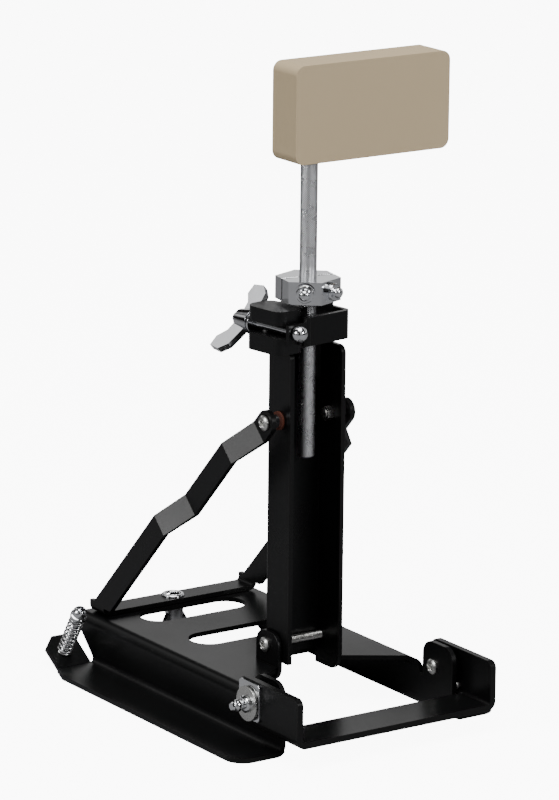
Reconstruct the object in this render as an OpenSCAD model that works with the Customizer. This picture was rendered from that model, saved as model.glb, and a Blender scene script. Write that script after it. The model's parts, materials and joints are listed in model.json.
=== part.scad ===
// Kick drum practice pad on a folding floor stand.
// Lengths are in millimetres. X runs across the stand, Y from the pedal end (-Y) to the back, Z up.
// Sizes in Y are measured from the back face of the post until at_origin() centres the whole stand.

/* [Base] */
// Height of the deck's top face above the floor
deck_h = 31; // [24:0.5:45]
// Thickness of the base sheet
sheet_t = 3; // [2:0.25:4]
// Width of the base over its two upright walls
base_w = 128.6; // [118:0.5:170]
// Width of each floor flange beyond its wall
flange_w = 32.7; // [28:0.5:50]
// Outer radius of the bends in the base sheet
bend_r = 6.5; // [5:0.5:9]
// Distance from the post's back face to the back edge of the deck
deck_back = 147; // [140:1:180]
// Distance from the post's back face forward to the front edge of the flanges
flange_front = 86; // [84:1:110]
// Width of the two long slots across the deck
slot_w = 26; // [18:1:28]
// Length of the two long slots across the deck
slot_len = 76; // [50:1:90]

/* [Spur wings] */
// Tilt of the turned-up wing that carries each spur
wing_tilt = 32; // [20:1:40]
// Length of the turned-up wing
wing_len = 27; // [22:1:32]
// Diameter of the spur screw
spur_d = 6; // [5:0.5:8]
// Length of the spur spring
spring_len = 31; // [24:1:36]
// Outside diameter of the spur spring
spring_d = 10; // [9:0.5:12]

/* [Post] */
// Width of the post channel
post_w = 40.4; // [34:0.2:50]
// Depth of the post channel
post_d = 26; // [24:0.5:34]
// Wall of the post channel
post_t = 3; // [2:0.25:4]
// Length of the post channel
post_len = 196; // [160:1:260]
// Height of the hinge bolt above the deck
hinge_h = 11.5; // [10:0.5:16]
// Diameter of the hinge bolt
hinge_d = 5; // [4:0.5:6]

/* [Mast and pad] */
// Diameter of the knurled mast
mast_d = 10.5; // [9.5:0.1:12.7]
// Length of the mast below the pad
mast_len = 184; // [150:1:230]
// Width of the pad
pad_w = 112.6; // [80:1:115]
// Height of the pad
pad_h = 60; // [50:1:90]
// Thickness of the pad
pad_t = 25.2; // [22:0.2:40]
// Distance from the pad's left end to the mast
pad_reach = 18.6; // [14:0.2:40]

/* [Mast clamp] */
// Height of the clamp strap
strap_h = 17.6; // [12:0.2:20]
// Turn of the clamp about the mast
clamp_turn = 8; // [0:1:12]
// Diameter of the clamp bolt
clamp_bolt_d = 6; // [5:0.5:7]

/* [Memory lock] */
// Height of the memory lock
lock_h = 14; // [10:0.5:20]
// Distance from the mast to the corners of the lock's six-sided outline
lock_r = 20; // [18:0.5:24]

/* [Brace] */
// Distance from the hinge bolt up to the brace pivots
brace_rise = 143; // [120:1:170]
// Width of the brace arms
arm_w = 15.4; // [12:0.2:18]
// Thickness of the brace strap
arm_t = 3.5; // [2.5:0.25:4]
// Distance from the post's back face to the middle of the crossbar
crossbar_y = 133.4; // [126:0.2:134]
// Depth of the crossbar
crossbar_d = 16.6; // [14:0.2:20]

/* [Pedal bar] */
// Gap between each front tab and the pedal bar's ear
ear_gap = 4.5; // [3:0.25:8]
// Depth of the flat bar that a pedal clamps to
bar_d = 28.6; // [20:0.2:28.6]
// Thickness of the pedal bar strip
bar_t = 4; // [3:0.25:5]
// Height of the bar's underside above the floor
bar_lift = 13; // [8:0.5:20]
// Distance from the post's back face forward to the bar's front edge
bar_front = 114; // [108:1:140]
// Height of the pedal bar's pivot above the floor
pivot_h = 29.5; // [26:0.5:34]
// Diameter of the pivot bolts
pivot_d = 6; // [5:0.5:8]

/* [Hidden] */
$fn = 48;
// Small distance by which one body stands off another
gap = 0.4;
// Radial clearance of a running fit
run_fit = 0.05;
// Overrun of a cutting shape past the face it cuts
over = 1;

// Base
wall_x = base_w / 2;
flange_x = wall_x + flange_w;
notch_back = 4;                       // front edge of the deck behind the post foot
corner_y = -48;                       // where the deck's front edge meets the walls
tab_y = -54;                          // back edge of the front tabs
tab_rise = 14;                        // height of the front tabs above the deck
wing_y = flange_front + 41;           // fold line of the spur wings
wing_in = wall_x + 2.6;
wing_out = flange_x - 5.5;

// Post and its hinge
post_z = deck_h + 2.5;
post_top = post_z + post_len;
hinge_y = -6.5;
hinge_z = deck_h + hinge_h;
ear_t = 3;
ear_x = post_w / 2 + gap;             // inner face of each hinge ear
ear_back = 3.8;
ear_front = -20.8;
notch_x = ear_x + ear_t;

// Mast
mast_r = mast_d / 2;
mast_y = -13.7;
clamp_z = post_top;                   // the clamp body stands on the post's top edge
strap_z = clamp_z + 4.6;
clamp_h = 27;
lock_z = clamp_z + clamp_h + 2;
pad_z = lock_z + lock_h + 71.5;
mast_z = pad_z - mast_len;

// Brace
brace_y = -14.2;
brace_z = hinge_z + brace_rise;
crossbar_z = deck_h + gap;
arm_fall = brace_z - crossbar_z;
arm_run = crossbar_y - brace_y;
arm_len = sqrt(arm_fall * arm_fall + arm_run * arm_run);
arm_angle = atan2(arm_fall, arm_run);
arm_top_x = post_w / 2 + 7;           // inner face of the arm at its pivot eye
arm_mid_x = arm_top_x + 14;
arm_low_x = wall_x - bend_r - arm_t + 0.6;
yoke_bolt_d = 6;
foot_r = 5;                           // outer radius of the bends from crossbar to arms
foot_t = arm_t - 0.5;                 // thickness of the pressed crossbar

// Pedal bar
bar_x = wall_x + ear_gap + bar_t;
bar_bend = 6;
ear_top = deck_h + 14;
ear_end = -53;
pivot_y = -64.5;

// Spur frame: the middle of the wing's top face
spur_x = (wing_in + wing_out) / 2 + 1;
spur_along = 13.5;
tip_len = spur_along * tan(wing_tilt) - 1.3;

// Whole stand in Y
back_y = wing_y + wing_len * cos(wing_tilt);
mid_y = (back_y - bar_front) / 2;

module at_origin() {
    translate([0, -mid_y, 0])
        children();
}

// Both sides of something drawn on the right
module both_sides() {
    children();
    mirror([1, 0, 0])
        children();
}

// Cylinder along +X from x0 to x1
module x_rod(r, x0, x1, y, z, fn = 48) {
    translate([x0, y, z])
        rotate([0, 90, 0])
            cylinder(r = r, h = x1 - x0, $fn = fn);
}

// Cylinder along +Y from y0 to y1
module y_rod(r, y0, y1, x, z, fn = 48) {
    translate([x, y0, z])
        rotate([-90, 0, 0])
            cylinder(r = r, h = y1 - y0, $fn = fn);
}

// Plate normal to X from x0 to x1, drawn in (Y, Z)
module x_plate(x0, x1) {
    translate([x0, 0, 0])
        rotate([90, 0, 90])
            linear_extrude(x1 - x0)
                children();
}

// Prism along Y from y0 to y1, drawn in (X, Z)
module y_prism(y0, y1) {
    translate([0, y1, 0])
        rotate([90, 0, 0])
            linear_extrude(y1 - y0)
                children();
}

// Rectangle from p to q with its corners rounded to r
module rounded_rect(p, q, r) {
    translate([p[0] + r, p[1]])
        square([q[0] - p[0] - 2 * r, q[1] - p[1]]);
    translate([p[0], p[1] + r])
        square([q[0] - p[0], q[1] - p[1] - 2 * r]);
    for (x = [p[0] + r, q[0] - r], y = [p[1] + r, q[1] - r])
        translate([x, y])
            circle(r);
}

// Slot with round ends, w wide and l long over all, along the first axis
module round_slot(l, w) {
    translate([-(l - w) / 2, -w / 2])
        square([l - w, w]);
    for (s = [-1, 1])
        translate([s * (l - w) / 2, 0])
            circle(w / 2);
}

// Section of a bent sheet of thickness t: the rounded box from p to q less the box t inside its sides a and b
module bent_section(p, q, r, t, open_top) {
    far = 100;
    low = open_top ? p : [p[0], p[1] - far];
    high = open_top ? [q[0], q[1] + far] : q;
    difference() {
        rounded_rect(low, high, r);
        rounded_rect(low + [t, open_top ? t : -far], high - [t, open_top ? -far : t], r - t);
    }
}

/* ---- Base ---- */

// Section of the lower wall bend and its flange, on the right, up to height top
module foot_section(top) {
    intersection() {
        bent_section([wall_x - sheet_t, 0], [2 * flange_x, deck_h], bend_r, sheet_t, true);
        square([flange_x, top]);
    }
}

// Section of the deck on the right, with its bend and the wall under it down to the foot
module sheet_section() {
    intersection() {
        bent_section([-wall_x, 0], [wall_x, deck_h], bend_r, sheet_t, false);
        translate([-over, deck_h / 2])
            square([wall_x + 2 * over, deck_h]);
    }
    foot_section(deck_h / 2);
}

// Half of the base seen from above: the notch for the post and the slanted front edges are left out
module base_plan() {
    front_r = 12;
    taper = 15;
    polygon([
        [-over, notch_back], [notch_x, notch_back], [notch_x, ear_front + 1.4],
        [wall_x - sheet_t, corner_y + 4], [wall_x - sheet_t, -flange_front],
        [flange_x - front_r, -flange_front], [flange_x, -flange_front + front_r],
        [flange_x, wing_y - taper], [wing_out, wing_y], [wall_x + 1, wing_y],
        [wall_x + 1, deck_back], [-over, deck_back]
    ]);
    translate([flange_x - front_r, -flange_front + front_r])
        circle(front_r);
}

// Front tab of the wall over its foot, drawn in (Y, Z), with rounded top corners
module front_tab() {
    front = -flange_front + 1;
    rounded_rect([front, bend_r], [tab_y, deck_h + tab_rise], 9);
    translate([front, 0])
        square([tab_y - front, bend_r + 14]);
    translate([-flange_front, 0])
        square([tab_y + flange_front, sheet_t]);
}

// Wall behind the front tab: V notch in front, slanted relief over the spur wing behind
module wall_side() {
    relief = wing_y - 1;
    polygon([
        [tab_y, 0], [wing_y, 0], [wing_y, sheet_t], [relief, sheet_t],
        [deck_back, sheet_t + deck_back - relief], [deck_back, deck_h + over],
        [corner_y, deck_h + over], [corner_y - 3.4, deck_h - 9], [tab_y, deck_h - 10.5]
    ]);
}

// Turned-up wing at the back of the flange, with the spur's tapped hole
module spur_wing() {
    corner = 8;
    wing_edge = wing_out - 0.6;
    translate([0, wing_y, 0])
        rotate([wing_tilt, 0, 0])
            difference() {
                linear_extrude(sheet_t)
                    difference() {
                        polygon([
                            [wing_in, 0], [wing_edge, 0], [wing_edge, wing_len - corner],
                            [wing_edge - corner, wing_len], [wing_in + 2, wing_len],
                            [wing_in, wing_len - 2]
                        ]);
                        translate([spur_x, spur_along])
                            circle(spur_d / 2 + run_fit);
                    }
            }
}

module base_half() {
    intersection() {
        y_prism(tab_y, deck_back)
            sheet_section();
        linear_extrude(deck_h + over)
            base_plan();
        x_plate(-over, flange_x + over)
            wall_side();
    }
    intersection() {
        y_prism(-flange_front, tab_y)
            foot_section(deck_h + tab_rise);
        linear_extrude(deck_h + tab_rise)
            base_plan();
        x_plate(0, flange_x + over)
            front_tab();
    }
    spur_wing();
}

module base_plate() {
    color([0.06, 0.06, 0.06])
        at_origin()
            difference() {
                both_sides()
                    base_half();
                for (y = [111.2, 54])
                    translate([0, y, deck_h - sheet_t - over])
                        linear_extrude(sheet_t + 2 * over)
                            round_slot(slot_len, slot_w);
                translate([0, crossbar_y, deck_h - sheet_t - over])
                    cylinder(r = yoke_bolt_d / 2 + run_fit, h = sheet_t + 2 * over);
                x_rod(pivot_d / 2 + run_fit, -bar_x, bar_x, pivot_y, pivot_h);
            }
}

// Upright ear that carries the post hinge, drawn on the right
module hinge_ear() {
    x_plate(ear_x, ear_x + ear_t)
        difference() {
            union() {
                rounded_rect([ear_front, hinge_z - 21], [ear_back, hinge_z + 9], 9);
                translate([ear_front + 9, hinge_z - 21])
                    square([ear_back - ear_front - 9, 12]);
            }
            translate([hinge_y, hinge_z])
                circle(hinge_d / 2);
        }
}

module hinge_ear_right() {
    color([0.06, 0.06, 0.06])
        at_origin()
            hinge_ear();
}

module hinge_ear_left() {
    color([0.06, 0.06, 0.06])
        at_origin()
            mirror([1, 0, 0])
                hinge_ear();
}

module hinge_bolt() {
    head_h = 2.6;
    x = ear_x + ear_t;
    color([0.78, 0.78, 0.78])
        at_origin() {
            x_rod(hinge_d / 2, -x - 0.01, x + 5, hinge_y, hinge_z);
            x_rod(4.6, -x - head_h, -x, hinge_y, hinge_z);
        }
}

// Hexagon nut with its axis on X, on the right face x
module x_nut(across, bore, h, x, y, z) {
    translate([x, y, z])
        rotate([0, 90, 0])
            difference() {
                cylinder(r = across / 2 / cos(30), h = h, $fn = 6);
                translate([0, 0, -over])
                    cylinder(r = bore, h = h + 2 * over);
            }
}

module hinge_nut() {
    color([0.78, 0.78, 0.78])
        at_origin()
            x_nut(8, hinge_d / 2, 4, ear_x + ear_t, hinge_y, hinge_z);
}

/* ---- Pivots of the pedal bar ---- */

pivot_in = wall_x - sheet_t;                // inner face of the front tab
bar_in = bar_x - bar_t;                     // inner face of the pedal bar's ear
plate_t = 1.6;
washer_t = 1.6;
bolt_face = bar_x + plate_t + gap + washer_t;

module pivot_key_bolt() {
    collar_h = 2;
    square_h = 6;
    square_w = 6;
    color([0.8, 0.82, 0.83])
        at_origin() {
            x_rod(pivot_d / 2, -bolt_face, -pivot_in + 8, pivot_y, pivot_h);
            x_rod(5.4, -bolt_face - collar_h, -bolt_face, pivot_y, pivot_h);
            translate([-bolt_face - collar_h - square_h, pivot_y - square_w / 2, pivot_h - square_w / 2])
                cube([square_h, square_w, square_w]);
            x_rod(3.4, -bolt_face - collar_h - square_h - 3, -bolt_face - collar_h - square_h,
                pivot_y, pivot_h);
        }
}

module pivot_washer() {
    color([0.8, 0.82, 0.83])
        at_origin()
            difference() {
                x_rod(10.8, -bolt_face, -bolt_face + washer_t, pivot_y, pivot_h);
                x_rod(pivot_d / 2, -bolt_face - over, -bar_x, pivot_y, pivot_h);
            }
}

module pivot_screw() {
    head_x = pivot_in;
    color([0.78, 0.78, 0.78])
        at_origin() {
            x_rod(pivot_d / 2, head_x - 0.01, bar_x + gap + 5.4, pivot_y, pivot_h);
            x_rod(4.8, head_x - 2.4, head_x, pivot_y, pivot_h);
        }
}

// Spacer between each front tab and the pedal bar's ear
module pivot_spacers() {
    color([0.12, 0.12, 0.12])
        at_origin()
            both_sides()
                difference() {
                    x_rod(8, wall_x, bar_in - gap, pivot_y, pivot_h);
                    x_rod(pivot_d / 2 + run_fit, wall_x - over, bar_in + over, pivot_y, pivot_h);
                }
}

// Nut inside the left tab, and nut outside the right ear
module pivot_nuts() {
    color([0.78, 0.78, 0.78])
        at_origin() {
            x_nut(10, pivot_d / 2, 5, bar_x + gap, pivot_y, pivot_h);
            x_nut(10, pivot_d / 2 + run_fit, 5, -pivot_in, pivot_y, pivot_h);
        }
}

/* ---- Spurs ---- */

// Puts children in the frame of the wing's top face, with Z along the spur
module on_wing() {
    translate([0, wing_y, 0])
        rotate([wing_tilt, 0, 0])
            translate([spur_x, spur_along, sheet_t])
                children();
}

module spur() {
    collar_h = 2.2;
    on_wing() {
        translate([0, 0, -sheet_t - tip_len + 5])
            cylinder(r = spur_d / 2, h = spring_len + sheet_t + tip_len - 5 + gap);
        translate([0, 0, -sheet_t - tip_len])
            cylinder(r1 = 0.6, r2 = spur_d / 2, h = 5);
        translate([0, 0, spring_len + gap])
            cylinder(r = spring_d / 2 + 0.4, h = collar_h);
        translate([0, 0, spring_len + gap + collar_h])
            cylinder(r1 = spring_d / 2 - 0.6, r2 = spring_d / 2 - 1.4, h = 3.6);
        translate([-2.9, -2.9, spring_len + gap + collar_h + 3.6])
            cube([5.8, 5.8, 5]);
    }
}

module spur_spring() {
    wire = 1.5;
    on_wing()
        difference() {
            cylinder(r = spring_d / 2, h = spring_len);
            translate([0, 0, -over])
                cylinder(r = spring_d / 2 - wire, h = spring_len + 2 * over);
        }
}

module spur_right() {
    color([0.8, 0.8, 0.8])
        at_origin()
            spur();
}

module spur_left() {
    color([0.8, 0.8, 0.8])
        at_origin()
            mirror([1, 0, 0])
                spur();
}

module spur_spring_right() {
    color([0.7, 0.7, 0.7])
        at_origin()
            spur_spring();
}

module spur_spring_left() {
    color([0.7, 0.7, 0.7])
        at_origin()
            mirror([1, 0, 0])
                spur_spring();
}

/* ---- Crossbar screw ---- */

// Wing screw under the deck, standing up through the crossbar's long hole
module yoke_wing_screw() {
    under = deck_h - sheet_t - gap;
    color([0.8, 0.8, 0.8])
        at_origin()
            translate([0, crossbar_y, 0]) {
                translate([0, 0, under - 9])
                    cylinder(r = yoke_bolt_d / 2, h = crossbar_z + foot_t - 0.2 - under + 9);
                translate([0, 0, under - 9])
                    cylinder(r1 = 5, r2 = 6.5, h = 9);
                rotate([0, 0, 20])
                    rotate([90, 0, 0])
                        translate([0, 0, -1.4])
                            linear_extrude(2.8)
                                for (s = [-1, 1])
                                    polygon([
                                        [s * 3, under - 2], [s * 8, under - 5],
                                        [s * 14, under - 13], [s * 12, under - 16],
                                        [s * 6, under - 12], [s * 3, under - 8.9]
                                    ]);
            }
}

/* ---- Post ---- */

module post_channel() {
    x = post_w / 2;
    r = 3.5;
    top_r = 5;
    color([0.06, 0.06, 0.06])
        at_origin()
            difference() {
                translate([0, 0, post_z])
                    linear_extrude(post_len)
                        difference() {
                            union() {
                                rounded_rect([-x, -post_d], [x, 0], r);
                                translate([-x, -post_d])
                                    square([post_w, post_d - r]);
                            }
                            translate([-x + post_t, -post_d - over])
                                square([post_w - 2 * post_t, post_d - post_t + over]);
                        }
                // rounded front corners at the top of the side walls
                x_plate(-x - over, x + over)
                    difference() {
                        translate([-post_d - over, post_top - top_r])
                            square([top_r + over, top_r + over]);
                        translate([-post_d + top_r, post_top - top_r])
                            circle(top_r);
                    }
                x_rod(hinge_d / 2 + run_fit, -x - over, x + over, hinge_y, hinge_z);
                x_rod(brace_screw_d / 2, -x - over, x + over, brace_y, brace_z);
                for (sx = [-9, 9])
                    y_rod(2.5, -post_t - over, over, sx, post_top - 12);
            }
}

/* ---- Mast clamp ---- */

// Frame of the clamp: the mast's axis, turned about it, with Z at the clamp's foot
module on_clamp() {
    translate([0, mast_y, clamp_z])
        rotate([0, 0, clamp_turn])
            children();
}

strap_x = post_w / 2 + 1;              // right side of the strap, from the mast
strap_y = 16.4;                        // front face of the strap, from the mast
strap_t = 3;
bolt_x = -24;                          // clamp bolt, from the mast
bolt_z = strap_z - clamp_z + strap_h / 2 + 1;
body_back = 19;
lobe_back = 20;
slot_half = clamp_bolt_d / 2 + 0.8;
jaw_split = mast_r - 1.5;               // front face of the body, from the mast

// Cast body: it holds the mast from behind and forks round the bolt on the left
module clamp_body() {
    tail_len = 22;
    color([0.05, 0.05, 0.05])
        at_origin()
            difference() {
                union() {
                    on_clamp() {
                        translate([-17, -jaw_split, 0])
                            cube([17 + strap_x - strap_t - gap, body_back + jaw_split, clamp_h - 2]);
                        for (z = [0, bolt_z + slot_half])
                            translate([0, 0, z])
                                linear_extrude(z == 0 ? bolt_z - slot_half : clamp_h - z)
                                    rounded_rect([-33, -11], [-12, lobe_back], z == 0 ? 6 : 7);
                    }
                    // tail that drops inside the channel and is screwed to its web
                    translate([-14, -post_t - gap - 5, clamp_z - tail_len])
                        cube([28, 5 + gap - 0.2, tail_len + 4]);
                }
                on_clamp()
                    translate([0, 0, -tail_len - over])
                        cylinder(r = mast_r + run_fit, h = clamp_h + tail_len + 2 * over);
                on_clamp()
                    y_rod(clamp_bolt_d / 2 + 0.2, -20, lobe_back + over, bolt_x, bolt_z);
                for (sx = [-9, 9])
                    y_rod(2.5, -post_t - 8, 0, sx, post_top - 12);
            }
}

// Steel strap across the front of the mast and round its right side
module clamp_strap() {
    r = 5;
    z0 = strap_z - clamp_z;
    color([0.05, 0.05, 0.05])
        at_origin()
            on_clamp()
                difference() {
                    union() {
                        translate([0, 0, z0])
                            linear_extrude(strap_h) {
                                difference() {
                                    rounded_rect([-16, -strap_y], [strap_x, body_back - 1], r);
                                    rounded_rect([-60, -strap_y + strap_t], [strap_x - strap_t, 60], r - strap_t);
                                }
                                // rolled end
                                translate([-13.5, -strap_y + 2.5])
                                    circle(2.7);
                            }
                        // tongue that the bolt pulls on
                        translate([-30, -strap_y + 0.3, bolt_z - 5])
                            cube([18, strap_t - 0.6, 10]);
                    }
                    y_rod(clamp_bolt_d / 2 + 0.2, -30, 0, bolt_x, bolt_z);
                }
}

// Front jaw between the strap and the mast
module clamp_jaw() {
    color([0.05, 0.05, 0.05])
        at_origin()
            on_clamp()
                difference() {
                    translate([-10, -strap_y + strap_t, strap_z - clamp_z + 1])
                        cube([20, strap_y - strap_t - jaw_split - gap, strap_h - 2]);
                    translate([0, 0, -over])
                        cylinder(r = mast_r + run_fit, h = clamp_h + 2 * over);
                }
}

nut_y = lobe_back + 1.6 + gap;          // near face of the wing nut, from the mast
module clamp_bolt() {
    ball_r = 5;
    color([0.8, 0.8, 0.8])
        at_origin()
            on_clamp() {
                y_rod(clamp_bolt_d / 2, -strap_y - 1, nut_y + 16, bolt_x, bolt_z);
                intersection() {
                    translate([bolt_x, -strap_y - 3, bolt_z])
                        sphere(r = ball_r);
                    translate([bolt_x - 10, -strap_y - 10, bolt_z - 10])
                        cube([20, 10, 20]);
                }
            }
}

module clamp_washer() {
    color([0.8, 0.8, 0.8])
        at_origin()
            on_clamp()
                difference() {
                    y_rod(7, lobe_back, lobe_back + 1.6, bolt_x, bolt_z);
                    y_rod(clamp_bolt_d / 2, lobe_back - over, lobe_back + 3, bolt_x, bolt_z);
                }
}

// Two screws that hold the clamp body's tail to the post's web
module clamp_screws() {
    color([0.2, 0.2, 0.2])
        at_origin()
            for (sx = [-9, 9]) {
                y_rod(2.5, -post_t - 5, 0.01, sx, post_top - 12);
                y_rod(4.5, 0, 2.4, sx, post_top - 12);
            }
}

wing_turn = 42;
wing_nut_span = 25;                      // from the bolt to a wing's tip
module clamp_wing_nut() {
    color([0.8, 0.8, 0.8])
        at_origin()
            on_clamp()
                translate([bolt_x, nut_y, bolt_z])
                    difference() {
                        union() {
                            rotate([-90, 0, 0])
                                cylinder(r1 = 8, r2 = 6, h = 12);
                            rotate([0, -wing_turn, 0])
                                for (s = [0, 180])
                                    rotate([0, s, 0])
                                        translate([0, 0, -2.2])
                                            linear_extrude(4.4)
                                                polygon([
                                                    [3, 1.5], [9, 2], [wing_nut_span - 5, 4.5],
                                                    [wing_nut_span, 10], [wing_nut_span - 1, 18],
                                                    [wing_nut_span - 8, 18], [11, 13], [3, 11.5]
                                                ]);
                        }
                        y_rod(clamp_bolt_d / 2 + run_fit, -over, 13, 0, 0);
                    }
}

/* ---- Brace ---- */

brace_screw_d = 5;
washer_gap = 1.5;                        // thickness of the fibre washers
brace_head_x = arm_top_x + arm_t + gap;

// Sleeves between the post and the arms
module brace_spacers() {
    color([0.8, 0.8, 0.8])
        at_origin()
            both_sides()
                difference() {
                    x_rod(4.2, post_w / 2 + washer_gap, arm_top_x - gap, brace_y, brace_z);
                    x_rod(brace_screw_d / 2, post_w / 2, arm_top_x + over, brace_y, brace_z);
                }
}

module brace_washers() {
    color([0.4, 0.16, 0.08])
        at_origin()
            both_sides()
                difference() {
                    x_rod(5.8, post_w / 2, post_w / 2 + washer_gap, brace_y, brace_z);
                    x_rod(brace_screw_d / 2, 0, post_w, brace_y, brace_z);
                }
}

module brace_screws() {
    color([0.78, 0.78, 0.78])
        at_origin()
            both_sides() {
                x_rod(brace_screw_d / 2, post_w / 2 - post_t - 4.6, brace_head_x, brace_y, brace_z);
                x_rod(4.8, brace_head_x, brace_head_x + 2.4, brace_y, brace_z);
            }
}

module brace_nuts() {
    color([0.78, 0.78, 0.78])
        at_origin()
            both_sides()
                x_nut(8, brace_screw_d / 2, 4, post_w / 2 - post_t - 4, brace_y, brace_z);
}

// Side outline of the right arm, as a strip in (distance down the arm, X)
module arm_edge() {
    j1 = 11;
    j2 = 29;
    j3 = arm_len * 0.418;
    j4 = j3 + 18;
    inner = [[-arm_w / 2, arm_top_x], [j1, arm_top_x], [j2, arm_mid_x], [j3, arm_mid_x],
        [j4, arm_low_x], [arm_len, arm_low_x]];
    outer = [for (i = [len(inner) - 1:-1:0]) inner[i] + [slant(inner, i), arm_t]];
    polygon(concat(inner, outer));
}

// Shift of an outer corner of a joggled strip that keeps its thickness even
function slant(p, i) = (i == 0 || i == len(p) - 1) ? 0
    : (p[i][1] != p[i + 1][1] ? -1 : 1) * arm_t * tan(turn(p, i) / 2);
function turn(p, i) = abs(atan2(p[i + 1][1] - p[i][1], p[i + 1][0] - p[i][0])
    - atan2(p[i][1] - p[i - 1][1], p[i][0] - p[i - 1][0]));

// Right arm with its pivot eye, cut off level with the deck at its foot
module brace_arm() {
    intersection() {
        translate([0, brace_y, brace_z])
            rotate([-arm_angle, 0, 0])
                intersection() {
                    translate([0, 0, -arm_w / 2])
                        linear_extrude(arm_w)
                            mirror([1, -1, 0])
                                arm_edge();
                    x_plate(0, wall_x)
                        union() {
                            circle(arm_w / 2);
                            translate([0, -arm_w / 2])
                                square([arm_len + arm_w, arm_w]);
                        }
                }
        translate([0, -post_d, crossbar_z + foot_r + 0.5])
            cube([wall_x, crossbar_y + post_d + arm_w, brace_z]);
    }
}

// Bent strap: the crossbar on the deck turns up at both ends into the joggled arms
module brace_yoke() {
    end_x = arm_low_x + (arm_t + foot_t) / 2;
    slot_back = 5.5;
    color([0.06, 0.06, 0.06])
        at_origin()
            difference() {
                union() {
                    both_sides()
                        brace_arm();
                    y_prism(crossbar_y - crossbar_d / 2, crossbar_y + crossbar_d / 2)
                        intersection() {
                            bent_section([-end_x, crossbar_z], [end_x, 2 * deck_h], foot_r, foot_t, true);
                            translate([-wall_x, 0])
                                square([base_w, crossbar_z + foot_r + 3]);
                        }
                }
                x_rod(brace_screw_d / 2 + run_fit, -wall_x, wall_x, brace_y, brace_z);
                translate([0, crossbar_y + slot_back / 2, crossbar_z - over])
                    linear_extrude(foot_t + 2 * over)
                        rotate(90)
                            round_slot(yoke_bolt_d + 1 + slot_back, yoke_bolt_d + 1);
            }
}

module yoke_washer() {
    color([0.82, 0.82, 0.82])
        at_origin()
            translate([0, crossbar_y + 1, crossbar_z + foot_t])
                rotate_extrude()
                    translate([4.4, 0])
                        polygon([[0, 0], [3, 0], [3, 0.8], [2.2, 1.5], [0.6, 1.5], [0, 0.9]]);
}

/* ---- Pedal bar ---- */

// Side of the pedal bar in (Y, Z): rounded ears over the flat bar's square front
module bar_side() {
    rounded_rect([-bar_front, bar_lift], [ear_end, ear_top - 1], 4.5);
    translate([-bar_front, bar_lift])
        square([bar_d, bar_bend + 4.5]);
}

bay_x = bar_x - bar_bend - 0.8;          // half width of the open bay behind the bar
stop_y = -80;
stop_z = 20;
module pedal_bar() {
    color([0.07, 0.07, 0.07])
        at_origin()
            difference() {
                intersection() {
                    y_prism(-bar_front, ear_end)
                        bent_section([-bar_x, bar_lift], [bar_x, 2 * deck_h], bar_bend, bar_t, true);
                    x_plate(-bar_x - over, bar_x + over)
                        bar_side();
                }
                translate([-bay_x, -bar_front + bar_d, bar_lift - over])
                    cube([2 * bay_x, ear_end + bar_front, bar_bend]);
                x_rod(pivot_d / 2 + run_fit, -bar_x - over, bar_x + over, pivot_y, pivot_h);
                x_rod(2.5, 0, bar_x + over, stop_y, stop_z);
            }
}

// Bright slotted plate under the big washer of the key bolt
module slide_plate() {
    color([0.75, 0.74, 0.7])
        at_origin()
            x_plate(-bar_x - plate_t, -bar_x)
                difference() {
                    rounded_rect([pivot_y - 10.8, bar_lift + bar_bend + 0.5], [pivot_y + 10.8, ear_top - 2], 2.5);
                    translate([pivot_y, pivot_h])
                        rotate(90)
                            round_slot(19, pivot_d + 0.6);
                }
}

module stop_screw() {
    color([0.78, 0.78, 0.78])
        at_origin() {
            x_rod(2.5, bar_in - 1.2, bar_x + 2.4, stop_y, stop_z);
            translate([bar_in - 1.2, stop_y, stop_z])
                rotate([0, -90, 0])
                    cylinder(r1 = 2.5, r2 = 1, h = 1.6);
        }
}

/* ---- Mast, pad and lock ---- */

module mast_rod() {
    chamfer = 1;
    seat = 22;
    color([0.75, 0.75, 0.77])
        at_origin()
            translate([0, mast_y, mast_z]) {
                translate([0, 0, chamfer])
                    cylinder(r = mast_r, h = mast_len + seat - chamfer);
                cylinder(r1 = mast_r - chamfer, r2 = mast_r, h = chamfer);
            }
}

core_t = 8;
module pad_core() {
    color([0.4, 0.4, 0.42])
        at_origin()
            difference() {
                union() {
                    translate([-pad_reach + 8, mast_y - core_t / 2, pad_z + 22])
                        cube([pad_w - 16, core_t, pad_h - 32]);
                    translate([0, mast_y, pad_z + 6])
                        cylinder(r = mast_r + 2.5, h = 20);
                }
                translate([0, mast_y, pad_z - over])
                    cylinder(r = mast_r, h = 22 + over);
            }
}

module pad_block() {
    r = 6;
    color([0.72, 0.66, 0.54])
        at_origin()
            difference() {
                translate([0, mast_y + pad_t / 2, 0])
                    rotate([90, 0, 0])
                        linear_extrude(pad_t)
                            rounded_rect([-pad_reach, pad_z], [pad_w - pad_reach, pad_z + pad_h], r);
                translate([-pad_reach + 8, mast_y - core_t / 2, pad_z + 22])
                    cube([pad_w - 16, core_t, pad_h - 32]);
                translate([0, mast_y, pad_z + 6])
                    cylinder(r = mast_r + 2.5, h = 20);
                translate([0, mast_y, pad_z - over])
                    cylinder(r = mast_r, h = 20);
            }
}

lock_turn = -100;                        // direction of the lock's front corner
lock_split = 1.6;
lock_boss = [-130, -70];
boss_r = 6.2;
boss_h = 1.6;
join_x = 12.5;

// Frame of the lock: the mast's axis at the lock's foot
module on_lock() {
    translate([0, mast_y, lock_z])
        children();
}

// Puts children on the lock's facet that faces the angle a, with Z outwards
module on_facet(a) {
    rotate([0, 0, a])
        translate([lock_r * cos(30), 0, lock_h / 2])
            rotate([0, 90, 0])
                children();
}

module lock_solid() {
    rotate([0, 0, lock_turn])
        cylinder(r = lock_r, h = lock_h, $fn = 6);
}

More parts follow.
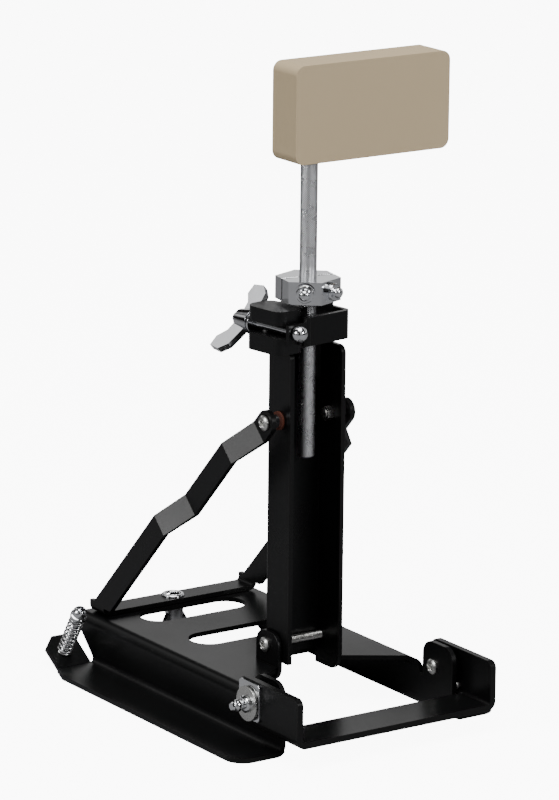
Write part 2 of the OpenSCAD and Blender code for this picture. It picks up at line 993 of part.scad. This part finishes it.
// Half space on the front side of the split, as a big block
module lock_side(front) {
    rotate([0, 0, lock_turn + 90])
        translate([-50, front ? -50 : lock_split / 2, -over])
            cube([100, 50 - lock_split / 2, lock_h + 2 * over]);
}

module join_holes(r) {
    rotate([0, 0, lock_turn + 90])
        for (x = [-join_x, join_x])
            translate([x, 0, lock_h / 2])
                rotate([90, 0, 0])
                    translate([0, 0, -20])
                        cylinder(r = r, h = 29);
}

module lock_front() {
    color([0.8, 0.8, 0.8])
        at_origin()
            on_lock()
                difference() {
                    union() {
                        intersection() {
                            lock_solid();
                            lock_side(true);
                        }
                        for (a = lock_boss)
                            on_facet(a)
                                cylinder(r = boss_r, h = boss_h);
                    }
                    translate([0, 0, -over])
                        cylinder(r = mast_r + run_fit, h = lock_h + 2 * over);
                    for (a = lock_boss)
                        on_facet(a)
                            translate([0, 0, -lock_r])
                                cylinder(r = 2.5, h = lock_r + boss_h + over);
                    join_holes(1.5);
                }
}

module lock_rear() {
    color([0.78, 0.78, 0.78])
        at_origin()
            on_lock()
                difference() {
                    intersection() {
                        lock_solid();
                        lock_side(false);
                    }
                    translate([0, 0, -over])
                        cylinder(r = mast_r + run_fit, h = lock_h + 2 * over);
                    join_holes(1.5);
                }
}

// Two square-headed screws that bear on the mast
module lock_key_screws() {
    color([0.82, 0.82, 0.82])
        at_origin()
            on_lock()
                for (a = lock_boss)
                    on_facet(a) {
                        translate([0, 0, -lock_r * cos(30) + mast_r + gap])
                            cylinder(r = 2.5, h = lock_r * cos(30) - mast_r - gap + boss_h + 0.01);
                        translate([0, 0, boss_h])
                            cylinder(r = 4.4, h = 1.4);
                        translate([-2.7, -2.7, boss_h + 1.4])
                            cube([5.4, 5.4, 4.6]);
                    }
}

// Two screws that draw the halves of the lock together from behind
module lock_join_screws() {
    color([0.6, 0.6, 0.6])
        at_origin()
            on_lock()
                rotate([0, 0, lock_turn + 90])
                    for (x = [-join_x, join_x])
                        translate([x, 0, lock_h / 2])
                            rotate([90, 0, 0])
                                translate([0, 0, -join_seat(join_x)])
                                    cylinder(r = 1.5, h = join_seat(join_x) + 8);
}
// Depth of the lock's back half behind the split, at distance x from the mast
function join_seat(x) = min(lock_r * cos(30), (lock_r - x) * tan(60));

base_plate();
hinge_ear_left();
hinge_ear_right();
hinge_bolt();
hinge_nut();
pivot_key_bolt();
pivot_washer();
pivot_screw();
pivot_spacers();
pivot_nuts();
spur_left();
spur_right();
spur_spring_left();
spur_spring_right();
yoke_wing_screw();
post_channel();
clamp_body();
clamp_strap();
clamp_jaw();
clamp_bolt();
clamp_washer();
clamp_screws();
clamp_wing_nut();
brace_spacers();
brace_washers();
brace_screws();
brace_nuts();
brace_yoke();
yoke_washer();
pedal_bar();
slide_plate();
stop_screw();
mast_rod();
pad_block();
pad_core();
lock_front();
lock_rear();
lock_key_screws();
lock_join_screws();
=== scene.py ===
import json
import math
import bmesh
import bpy
import numpy as np
from mathutils import Matrix, Vector


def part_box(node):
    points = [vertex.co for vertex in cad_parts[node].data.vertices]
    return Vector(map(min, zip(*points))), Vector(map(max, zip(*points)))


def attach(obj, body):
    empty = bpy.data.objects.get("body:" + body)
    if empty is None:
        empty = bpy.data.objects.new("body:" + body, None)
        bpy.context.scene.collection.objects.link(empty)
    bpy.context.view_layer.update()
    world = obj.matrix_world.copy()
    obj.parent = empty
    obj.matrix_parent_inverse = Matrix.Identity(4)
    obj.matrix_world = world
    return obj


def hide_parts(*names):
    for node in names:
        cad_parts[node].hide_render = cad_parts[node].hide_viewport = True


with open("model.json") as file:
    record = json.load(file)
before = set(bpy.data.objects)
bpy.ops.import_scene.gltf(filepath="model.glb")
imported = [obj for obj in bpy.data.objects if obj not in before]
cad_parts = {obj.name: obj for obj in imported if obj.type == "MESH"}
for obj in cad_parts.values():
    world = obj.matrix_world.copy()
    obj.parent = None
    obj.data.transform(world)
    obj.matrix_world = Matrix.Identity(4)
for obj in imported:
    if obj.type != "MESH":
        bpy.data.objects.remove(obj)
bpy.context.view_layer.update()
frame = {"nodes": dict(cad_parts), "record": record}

# ---- Camera ----
# A long lens from the front left, a little above the clamp, looks down at the stand.
turn, tilt, roll = math.radians(-34.26), math.radians(14.35), math.radians(-0.59)
forward = Vector((-math.sin(turn) * math.cos(tilt), math.cos(turn) * math.cos(tilt), -math.sin(tilt)))
level = Vector((math.cos(turn), math.sin(turn), 0))
down = forward.cross(level)
across = level * math.cos(roll) + down * math.sin(roll)
upright = level * math.sin(roll) - down * math.cos(roll)
camera = bpy.data.objects.new("camera", bpy.data.cameras.new("camera"))
camera.data.lens = 209.12
camera.data.sensor_width = 36
eye = (-1.55098, -2.27953, 0.89397)
camera.matrix_world = Matrix.Translation(eye) @ Matrix(
    [[across[k], upright[k], -forward[k]] for k in range(3)]).to_4x4()
bpy.context.collection.objects.link(camera)
bpy.context.scene.camera = camera

# ---- Studio ----
# A wide pale floor in a grey tent, with lamps overhead, on the left, behind and in front. The tent has pale
# and dark bands, and the floor is darker when mirrored than when seen, so that chrome has something to show.
floor_mesh = bpy.data.meshes.new("floor")
floor_mesh.from_pydata([(-30, -30, 0), (30, -30, 0), (30, 30, 0), (-30, 30, 0)], [], [(0, 1, 2, 3)])
floor = bpy.data.objects.new("floor", floor_mesh)
bpy.context.collection.objects.link(floor)
paper = bpy.data.materials.new("studio_paper")
paper.use_nodes = True
paper_tree = paper.node_tree
paper_skin = paper_tree.nodes["Principled BSDF"]
ray = paper_tree.nodes.new("ShaderNodeLightPath")
tone = paper_tree.nodes.new("ShaderNodeMix")
tone.data_type = "RGBA"
mirrored_grey, seen_grey, seen_glow = (0.22, 0.22, 0.225, 1), (0.97, 0.97, 0.97, 1), 9.0
tone.inputs["A"].default_value = mirrored_grey
tone.inputs["B"].default_value = seen_grey
paper_tree.links.new(ray.outputs["Is Camera Ray"], tone.inputs["Factor"])
paper_tree.links.new(tone.outputs["Result"], paper_skin.inputs["Base Color"])
glow = paper_tree.nodes.new("ShaderNodeMath")
glow.operation = "MULTIPLY"
glow.inputs[1].default_value = seen_glow
paper_tree.links.new(ray.outputs["Is Camera Ray"], glow.inputs[0])
paper_tree.links.new(glow.outputs[0], paper_skin.inputs["Emission Strength"])
paper_skin.inputs["Emission Color"].default_value = (1, 1, 1, 1)
paper_skin.inputs["Roughness"].default_value = 0.8
paper_skin.inputs["Specular IOR Level"].default_value = 0.2
floor_mesh.materials.append(paper)

aim = Vector((0, 0, 0.15))
for name, place, size, power in (
        ("lamp_over", (-0.2, -0.4, 2.3), 1.6, 40),
        ("lamp_left", (-2.4, 0.2, 1.2), 0.8, 22),
        ("lamp_behind", (1.7, 2.6, 0.95), 1.1, 3.2),
        ("lamp_front", (0.9, -2.9, 1.6), 0.9, 50)):
    lamp = bpy.data.objects.new(name, bpy.data.lights.new(name, "AREA"))
    lamp.data.size = size
    lamp.data.energy = power
    lamp.location = place
    lamp.rotation_mode = "QUATERNION"
    lamp.rotation_quaternion = (aim - Vector(place)).to_track_quat("-Z", "Y")
    bpy.context.collection.objects.link(lamp)

tent = bpy.data.worlds.new("tent")
tent.use_nodes = True
bpy.context.scene.world = tent
sky = tent.node_tree
toward = sky.nodes.new("ShaderNodeTexCoord")
split = sky.nodes.new("ShaderNodeSeparateXYZ")
shade = sky.nodes.new("ShaderNodeValToRGB")
sky.links.new(toward.outputs["Generated"], split.inputs[0])
sky.links.new(split.outputs["Z"], shade.inputs[0])
shade.color_ramp.elements[0].position = 0.03
shade.color_ramp.elements[0].color = (0.11, 0.11, 0.115, 1)
shade.color_ramp.elements[1].position = 0.75
shade.color_ramp.elements[1].color = (1, 1, 1, 1)
height_bands = ((0.12, 0.02), (0.2, 0.75), (0.32, 0.8), (0.4, 0.06))
for place, grey in height_bands:
    shade.color_ramp.elements.new(place).color = (grey, grey, grey, 1)
wide = sky.nodes.new("ShaderNodeMapRange")
wide.inputs["From Min"].default_value = -1
sky.links.new(split.outputs["X"], wide.inputs["Value"])
drapes = sky.nodes.new("ShaderNodeValToRGB")
sky.links.new(wide.outputs["Result"], drapes.inputs[0])
drapes.color_ramp.elements[0].color = (1, 1, 1, 1)
drapes.color_ramp.elements[1].color = (1, 1, 1, 1)
drape_bands = ((0.08, 1), (0.14, 0.04), (0.26, 0.04), (0.33, 1.3), (0.42, 1.3), (0.5, 0.05), (0.84, 0.05),
               (0.9, 1.2))
for place, grey in drape_bands:
    drapes.color_ramp.elements.new(place).color = (grey, grey, grey, 1)
hung = sky.nodes.new("ShaderNodeMix")
hung.data_type = "RGBA"
hung.blend_type = "MULTIPLY"
hung.inputs["Factor"].default_value = 1
sky.links.new(shade.outputs[0], hung.inputs["A"])
sky.links.new(drapes.outputs[0], hung.inputs["B"])
sky.links.new(hung.outputs["Result"], sky.nodes["Background"].inputs["Color"])
sky.nodes["Background"].inputs["Strength"].default_value = 1.0

# ---- Base plate and hinge ears ----
# One bent steel sheet and two welded ears, blasted and powder coated satin black. The laser-cut edges are
# broken a little, so each bend and edge shows a thin line of light.
bodies = frame["record"]["behaviour"]["bodies"]
body_of_node = {node: body for body, nodes in bodies.items() for node in nodes}
slot_of_node = {row["node"]: row["material_slot"] for row in frame["record"]["subparts"]}
weld_gap = 2e-6


def uneven_group():
    """Fine unevenness of a finish: object-space noise at Scale, stretched between Low and High."""
    group = bpy.data.node_groups.new("uneven", "ShaderNodeTree")
    for label, value in (("Scale", 100.0), ("Low", 0.0), ("High", 1.0)):
        socket = group.interface.new_socket(label, in_out="INPUT", socket_type="NodeSocketFloat")
        socket.default_value = value
    group.interface.new_socket("Value", in_out="OUTPUT", socket_type="NodeSocketFloat")
    ins = group.nodes.new("NodeGroupInput")
    outs = group.nodes.new("NodeGroupOutput")
    place = group.nodes.new("ShaderNodeTexCoord")
    noise = group.nodes.new("ShaderNodeTexNoise")
    spread = group.nodes.new("ShaderNodeMapRange")
    noise.inputs["Detail"].default_value = 3
    spread.inputs["From Min"].default_value = 0.3
    spread.inputs["From Max"].default_value = 0.7
    group.links.new(place.outputs["Object"], noise.inputs["Vector"])
    group.links.new(ins.outputs["Scale"], noise.inputs["Scale"])
    group.links.new(noise.outputs["Fac"], spread.inputs["Value"])
    group.links.new(ins.outputs["Low"], spread.inputs["To Min"])
    group.links.new(ins.outputs["High"], spread.inputs["To Max"])
    group.links.new(spread.outputs["Result"], outs.inputs["Value"])
    return group


uneven = uneven_group()


def finish(name, colour, metallic, rough, patch, grain, depth, gloss=0.5):
    """A finish: colour, roughness drifting over patches, and fine grain as a bump of that depth."""
    stuff = bpy.data.materials.new(name)
    stuff.use_nodes = True
    tree = stuff.node_tree
    skin = tree.nodes["Principled BSDF"]
    skin.inputs["Base Color"].default_value = (*colour, 1)
    skin.inputs["Metallic"].default_value = metallic
    skin.inputs["Specular IOR Level"].default_value = gloss
    drift = tree.nodes.new("ShaderNodeGroup")
    drift.node_tree = uneven
    drift.inputs["Scale"].default_value = patch
    drift.inputs["Low"].default_value = rough[0]
    drift.inputs["High"].default_value = rough[1]
    tree.links.new(drift.outputs["Value"], skin.inputs["Roughness"])
    fine = tree.nodes.new("ShaderNodeGroup")
    fine.node_tree = uneven
    fine.inputs["Scale"].default_value = grain
    bump = tree.nodes.new("ShaderNodeBump")
    bump.inputs["Distance"].default_value = depth
    bump.inputs["Strength"].default_value = 0.6
    tree.links.new(fine.outputs["Value"], bump.inputs["Height"])
    tree.links.new(bump.outputs["Normal"], skin.inputs["Normal"])
    return stuff


def settle(piece, node, stuff):
    """A finished piece takes a node's place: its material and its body."""
    piece.data.materials.clear()
    piece.data.materials.append(stuff)
    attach(piece, body_of_node[node])
    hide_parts(node)
    return piece


def broken_edges(node, stuff, width, steps=2):
    """A copy of a node's mesh, flat parts joined, with its sharp edges rounded to width."""
    mesh = frame["nodes"][node].data.copy()
    shape = bmesh.new()
    shape.from_mesh(mesh)
    bmesh.ops.remove_doubles(shape, verts=shape.verts, dist=weld_gap)
    bmesh.ops.dissolve_limit(shape, angle_limit=math.radians(0.6), verts=shape.verts, edges=shape.edges)
    shape.to_mesh(mesh)
    shape.free()
    mesh.shade_smooth()
    piece = bpy.data.objects.new(node + "_finished", mesh)
    bpy.context.collection.objects.link(piece)
    bevel = piece.modifiers.new("broken_edges", "BEVEL")
    bevel.width = width
    bevel.segments = steps
    bevel.limit_method = "ANGLE"
    bevel.angle_limit = math.radians(28)
    even = piece.modifiers.new("flat_faces", "WEIGHTED_NORMAL")
    even.weight = 100
    return settle(piece, node, stuff)


powder_coat = finish("satin_powder_coat", (0.003, 0.003, 0.0032), 0.0, (0.27, 0.33), 12, 1600, 1.2e-5, 0.28)
for node in ("base_plate", "hinge_ear_left", "hinge_ear_right"):
    broken_edges(node, powder_coat, 0.0005)

# ---- Screws with cross-recessed heads ----
# Zinc-plated steel screws: the hinge bolt across the post's foot, the two brace screws and the screw of
# the pedal bar. Each has a rolled thread and a domed head with a cross pressed into it.
zinc = finish("zinc_plate", (0.68, 0.68, 0.66), 1.0, (0.2, 0.38), 300, 2500, 1e-5)


def frame_along(out):
    """Two directions square to out, and out itself, as the rows of an array."""
    out = np.array(out, float) / np.linalg.norm(out)
    side = np.cross(out, (0.0, 0.0, 1.0) if abs(out[2]) < 0.9 else (0.0, 1.0, 0.0))
    side /= np.linalg.norm(side)
    return np.array([side, np.cross(out, side), out])


def skinned(name, sheets):
    """One mesh from closed tubes: each sheet is a grid of points, round in its second direction, with its
    first and last rows drawn together to a point."""
    points, faces, start = [], [], 0
    for grid in sheets:
        rows, cols = grid.shape[:2]
        number = start + np.arange(rows * cols).reshape(rows, cols)
        a, b = number[:-1], number[1:]
        quads = np.stack([a, np.roll(a, -1, 1), np.roll(b, -1, 1), b], -1).reshape(-1, 4)
        points.append(grid.reshape(-1, 3))
        faces.append(quads)
        start += rows * cols
    mesh = bpy.data.meshes.new(name)
    mesh.from_pydata(np.concatenate(points), [], np.concatenate(faces).tolist())
    shape = bmesh.new()
    shape.from_mesh(mesh)
    bmesh.ops.remove_doubles(shape, verts=shape.verts, dist=weld_gap)
    bmesh.ops.recalc_face_normals(shape, faces=shape.faces)
    shape.to_mesh(mesh)
    shape.free()
    mesh.shade_smooth()
    mesh.set_sharp_from_angle(angle=math.radians(38))
    piece = bpy.data.objects.new(name, mesh)
    bpy.context.collection.objects.link(piece)
    return piece


def thread(start, end, radius, pitch, depth):
    """A threaded shaft: the radius drops by depth in a triangle wave of distance over pitch less turns."""
    along = np.array(end, float) - np.array(start, float)
    length = np.linalg.norm(along)
    axes = frame_along(along)
    rows = int(length / pitch * 6) + 2
    s, a = np.meshgrid(
        np.linspace(0, length, rows), np.linspace(0, 2 * np.pi, 28, endpoint=False), indexing="ij")
    wave = np.abs((s / pitch - a / (2 * np.pi)) % 1 * 2 - 1)
    r = radius - depth * wave
    r[[0, -1]] = 0
    s[1], s[-2] = s[0], s[-1]
    return np.array(start) + (r * np.cos(a))[..., None] * axes[0] + (r * np.sin(a))[..., None] * axes[1] \
        + s[..., None] * axes[2]


def cross_head(base, out, radius, height, arm=0.62, width=0.15):
    """A pan head: a dome over a disc, less a cross whose walls are straight ramps of the distance to it."""
    axes = frame_along(out)
    dome = np.linspace(0, 1, 34)
    ring = np.concatenate([dome, [1, 1, 0]])
    rise = np.concatenate([1 - 0.55 * dome ** 3, [0.25, 0, 0]])
    on_dome = np.arange(len(ring)) < len(dome)
    q, a = np.meshgrid(ring, np.linspace(0, 2 * np.pi, 96, endpoint=False), indexing="ij")
    x, y = q * np.cos(a + 0.5), q * np.sin(a + 0.5)
    inside = np.clip((width + 0.05 - np.minimum(abs(x), abs(y))) / 0.08, 0, 1) \
        * np.clip((arm - np.maximum(abs(x), abs(y))) / 0.12, 0, 1)
    h = height * (rise[:, None] - 0.75 * inside * on_dome[:, None])
    return np.array(base) + (radius * q * np.cos(a))[..., None] * axes[0] \
        + (radius * q * np.sin(a))[..., None] * axes[1] + h[..., None] * axes[2]


low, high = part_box("hinge_bolt")
mid = (low + high) / 2
ear_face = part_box("hinge_ear_left")[0].x
settle(skinned("hinge_bolt_threaded", [
    thread((ear_face, mid.y, mid.z), (high.x, mid.y, mid.z), 0.0025, 0.0008, 0.00035),
    cross_head((ear_face, mid.y, mid.z), (-1, 0, 0), 0.0046, ear_face - low.x)]), "hinge_bolt", zinc)

low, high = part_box("brace_screws")
mid = (low + high) / 2
head_radius, head_height, screw_root = 0.0048, 0.0024, 0.0126
arm_top = high.x - head_height
settle(skinned("brace_screws_threaded", [
    sheet for side in (-1, 1) for sheet in (
        thread((side * screw_root, mid.y, mid.z), (side * arm_top, mid.y, mid.z), 0.0025, 0.0008, 0.0003),
        cross_head((side * arm_top, mid.y, mid.z), (side, 0, 0), head_radius, head_height))]),
    "brace_screws", zinc)

low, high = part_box("pivot_screw")
mid = (low + high) / 2
settle(skinned("pivot_screw_threaded", [
    thread((low.x + head_height, mid.y, mid.z), (high.x, mid.y, mid.z), 0.003, 0.001, 0.0004),
    cross_head((low.x + head_height, mid.y, mid.z), (-1, 0, 0), head_radius, head_height)]),
    "pivot_screw", zinc)
for node in ("hinge_nut", "brace_nuts", "pivot_nuts", "stop_screw", "pivot_washer"):
    broken_edges(node, zinc, 0.0002)

# ---- Post, pedal bar and brace yoke ----
# The channel, the U-shaped bar and the bent strap are cut from the same steel and coated with the base.
for node in ("post_channel", "pedal_bar", "brace_yoke", "clamp_strap"):
    broken_edges(node, powder_coat, 0.0005)
spacer_black = finish("black_nylon", (0.012, 0.012, 0.012), 0.0, (0.4, 0.5), 60, 900, 2e-5)
broken_edges("pivot_spacers", spacer_black, 0.0003)

# ---- Mast clamp ----
# A zinc casting, barrel finished and coated black, softer at its edges than the sheet. Its screws are
# blackened steel.
coated_casting = finish("coated_casting", (0.003, 0.003, 0.0033), 0.0, (0.26, 0.36), 90, 700, 4e-5, 0.35)
black_oxide = finish("black_oxide", (0.03, 0.03, 0.032), 0.8, (0.35, 0.5), 200, 2000, 1e-5)
for node in ("clamp_body", "clamp_jaw"):
    broken_edges(node, coated_casting, 0.0009, 3)
for node in ("clamp_screws", "lock_join_screws"):
    broken_edges(node, black_oxide, 0.0003)

# ---- Chrome parts ----
# The wing nut, the wing screw and the memory lock are castings with soft edges. The bolts, the key screws,
# the washers and the brace spacers are turned steel. All are plated bright.
chrome = finish("bright_chrome", (0.82, 0.83, 0.85), 1.0, (0.04, 0.1), 120, 400, 4e-6)
cast_chrome = finish("cast_chrome", (0.8, 0.81, 0.83), 1.0, (0.04, 0.09), 120, 70, 1.6e-4)
for node, width in (("clamp_wing_nut", 0.0012), ("yoke_wing_screw", 0.0008), ("lock_front", 0.0012),
                    ("lock_rear", 0.0012), ("clamp_bolt", 0.0003),
                    ("clamp_washer", 0.0003), ("brace_spacers", 0.0004), ("yoke_washer", 0.0003),
                    ("slide_plate", 0.0002)):
    broken_edges(node, cast_chrome if slot_of_node[node] == "chrome_casting" else chrome, width, 3)


def turned(base, out, profile):
    """A turned part: the profile's (radius, distance) points, in millimetres, swept round the axis out."""
    axes = frame_along(out)
    r, h = np.array(profile).T[:, :, None] / 1000
    a = np.linspace(0, 2 * np.pi, 48, endpoint=False)[None]
    return np.array(base) + (r * np.cos(a))[..., None] * axes[0] + (r * np.sin(a))[..., None] * axes[1] \
        + (h + 0 * a)[..., None] * axes[2]


# Each key screw stands in a ring on its facet and ends in a ball.
mast_low, mast_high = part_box("mast_rod")
lock_low, lock_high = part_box("lock_front")
axis = ((mast_low.x + mast_high.x) / 2, (mast_low.y + mast_high.y) / 2, (lock_low.z + lock_high.z) / 2)
boss_reach = 0.01892
knob = [(0, -12), (2.5, -12), (2.5, 0), (5, 0), (5.4, 0.6), (5, 1.2), (4.2, 1.4), (3.4, 1.1), (2.6, 1.3),
        (2.9, 2.1), (3.3, 3), (3.4, 3.8), (3, 4.9), (2, 5.7), (0.9, 6), (0, 6)]
heads = []
for bearing in (math.radians(-130), math.radians(-70)):
    out = (math.cos(bearing), math.sin(bearing), 0)
    heads.append(turned([axis[k] + out[k] * boss_reach for k in range(3)], out, knob))
settle(skinned("lock_key_screws_turned", heads), "lock_key_screws", chrome)

# The key bolt of the pedal bar's pivot has the same kind of head, with a waist before its rounded tip.
low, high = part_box("pivot_key_bolt")
mid = (low + high) / 2
grip_length = 0.011
face = (low.x + grip_length, mid.y, mid.z)
grip = [(0, 0), (5.4, 0), (5.4, 1.2), (4.6, 2), (3.2, 2.2), (2.6, 3), (3.4, 4.4), (3.9, 6), (3.6, 7.4),
        (2.6, 8.2), (2.4, 9), (2.9, 9.8), (2.2, 10.7), (0, 11)]
settle(skinned("pivot_key_bolt_turned", [
    turned(face, (-1, 0, 0), grip),
    thread(face, (high.x, mid.y, mid.z), 0.003, 0.001, 0.0004)]), "pivot_key_bolt", chrome)

# ---- Spurs and their springs ----
# Each spur is a threaded rod with a point, a collar and a cross-recessed head, drawn a little shorter than
# its box at both ends. A coil of plated wire under the collar keeps it from turning loose. The coil's end
# turns lie closer, as on a ground spring.
spring_wire = finish("spring_wire", (0.62, 0.62, 0.63), 1.0, (0.15, 0.3), 500, 3000, 5e-6)
wing_tilt = math.radians(32)


def coil(start, out, length, radius, wire, turns):
    """Wire round a helix: the centre line turns evenly, and climbs slowly over its first and last tenths and
    evenly between. The wire's circle stands on the outward and upward directions."""
    axes = frame_along(out)
    t = np.concatenate([[0], np.linspace(0, 1, int(turns * 26)), [1]])
    ramp = np.interp(t, [0, 0.1, 0.9, 1], [0, 0.04, 0.96, 1])
    t2, b = np.meshgrid(t, np.linspace(0, 2 * np.pi, 12, endpoint=False), indexing="ij")
    w = np.full_like(t2, wire)
    w[[0, -1]] = 0
    wound = 2 * np.pi * turns * t2
    r = radius + w * np.cos(b)
    up = wire + (length - 2 * wire) * ramp[:, None] + w * np.sin(b)
    return np.array(start) + (r * np.cos(wound))[..., None] * axes[0] \
        + (r * np.sin(wound))[..., None] * axes[1] + up[..., None] * axes[2]


head_width, top_length, clearance, wire = 0.0058, 0.0108, 0.0004, 0.0007
for side in ("left", "right"):
    node = "spur_spring_" + side
    low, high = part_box(node)
    outer = (high.x - low.x) / 2
    out = np.array((0, -math.sin(wing_tilt), math.cos(wing_tilt)))
    length = ((high.z - low.z) - 2 * outer * math.sin(wing_tilt)) / math.cos(wing_tilt)
    start = np.array((low + high) / 2) - out * length / 2
    tip_low, tip_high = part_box("spur_" + side)
    reach = (tip_high.z - tip_low.z - head_width * math.sin(wing_tilt)) / math.cos(wing_tilt) - top_length
    collar = start + out * (length + clearance)
    tip = collar - out * (reach - clearance)
    settle(skinned("spur_" + side + "_turned", [
        turned(tip, out, [(0, 0), (0.6, 0.05), (3, 5), (3, 6), (0, 6)]),
        thread(tip + out * 0.0055, collar, 0.003, 0.001, 0.0004),
        turned(collar, out, [(0, 0), (5.2, 0), (5.4, 0.5), (5.4, 2), (4.6, 2.5), (0, 2.5)]),
        cross_head(collar + out * 0.0025, out, 0.0045, 0.0056)]), "spur_" + side, chrome)
    settle(skinned(node + "_coiled", [coil(start, out, length, outer - wire, wire, 9.5)]), node, spring_wire)

# ---- Fibre washers ----
# Pressed red-brown fibre between the post and each brace spacer.
fibre = finish("red_fibre", (0.16, 0.045, 0.025), 0.0, (0.6, 0.75), 300, 1500, 3e-5)
broken_edges("brace_washers", fibre, 0.0002)

# ---- Mast ----
# A steel rod, diamond knurled from end to end and nickel plated. The knurl is two sets of crossed helical
# grooves, drawn as a height on the plain rod and as painted shade, a darker colour in the grooves.
mast_steel = finish("knurled_mast", (0.6, 0.61, 0.63), 1.0, (0.24, 0.34), 200, 2500, 1e-5)
low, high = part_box("mast_rod")


def knurl_height(tree, centre, starts, pitch):
    """Height of a diamond knurl: the smaller of two triangle waves, of the turns times the number of grooves
    plus and minus the height over the pitch."""
    place = tree.nodes.new("ShaderNodeTexCoord")
    middle = tree.nodes.new("ShaderNodeMapping")
    middle.inputs["Location"].default_value = (-centre[0], -centre[1], 0)
    axes = tree.nodes.new("ShaderNodeSeparateXYZ")
    tree.links.new(place.outputs["Object"], middle.inputs["Vector"])
    tree.links.new(middle.outputs["Vector"], axes.inputs[0])

    def maths(kind, *values):
        """One Math node of that kind, fed by sockets or plain numbers."""
        node = tree.nodes.new("ShaderNodeMath")
        node.operation = kind
        for k, value in enumerate(values):
            if isinstance(value, (int, float)):
                node.inputs[k].default_value = value
            else:
                tree.links.new(value, node.inputs[k])
        return node.outputs[0]

    angle = maths("ARCTAN2", axes.outputs["Y"], axes.outputs["X"])
    grooves = maths("MULTIPLY", angle, starts / (2 * math.pi))
    climb = maths("MULTIPLY", axes.outputs["Z"], 1 / pitch)
    waves = [maths("PINGPONG", maths(kind, grooves, climb), 0.5) for kind in ("ADD", "SUBTRACT")]
    return maths("MINIMUM", *waves)


tree = mast_steel.node_tree
bump = tree.nodes["Bump"]
bump.inputs["Distance"].default_value = 0.0003
bump.inputs["Strength"].default_value = 0.9
groove_starts, groove_pitch = 24, 0.00137
knurl = knurl_height(tree, ((low.x + high.x) / 2, (low.y + high.y) / 2), groove_starts, groove_pitch)
tree.links.new(knurl, bump.inputs["Height"])
# Painted shade: the base colour goes from bright on the knurl's crests to dark down in its grooves.
groove_shade = tree.nodes.new("ShaderNodeMix")
groove_shade.data_type = "RGBA"
groove_shade.inputs["A"].default_value = (0.34, 0.34, 0.36, 1)
groove_shade.inputs["B"].default_value = (0.95, 0.96, 0.98, 1)
crest = tree.nodes.new("ShaderNodeMapRange")
crest.inputs["From Min"].default_value = 0.02
crest.inputs["From Max"].default_value = 0.22
tree.links.new(knurl, crest.inputs["Value"])
tree.links.new(crest.outputs["Result"], groove_shade.inputs["Factor"])
tree.links.new(groove_shade.outputs["Result"], tree.nodes["Principled BSDF"].inputs["Base Color"])
broken_edges("mast_rod", mast_steel, 0.0003)

# ---- Pad ----
# A block of tan gum rubber moulded over a flat core, matt, with its face edges rounded by the mould.
gum_rubber = finish("gum_rubber", (0.57, 0.45, 0.28), 0.0, (0.52, 0.62), 25, 500, 3e-5)
broken_edges("pad_block", gum_rubber, 0.0016, 4)
core_metal = finish("core_aluminium", (0.6, 0.6, 0.62), 1.0, (0.4, 0.5), 100, 800, 2e-5)
broken_edges("pad_core", core_metal, 0.0003)
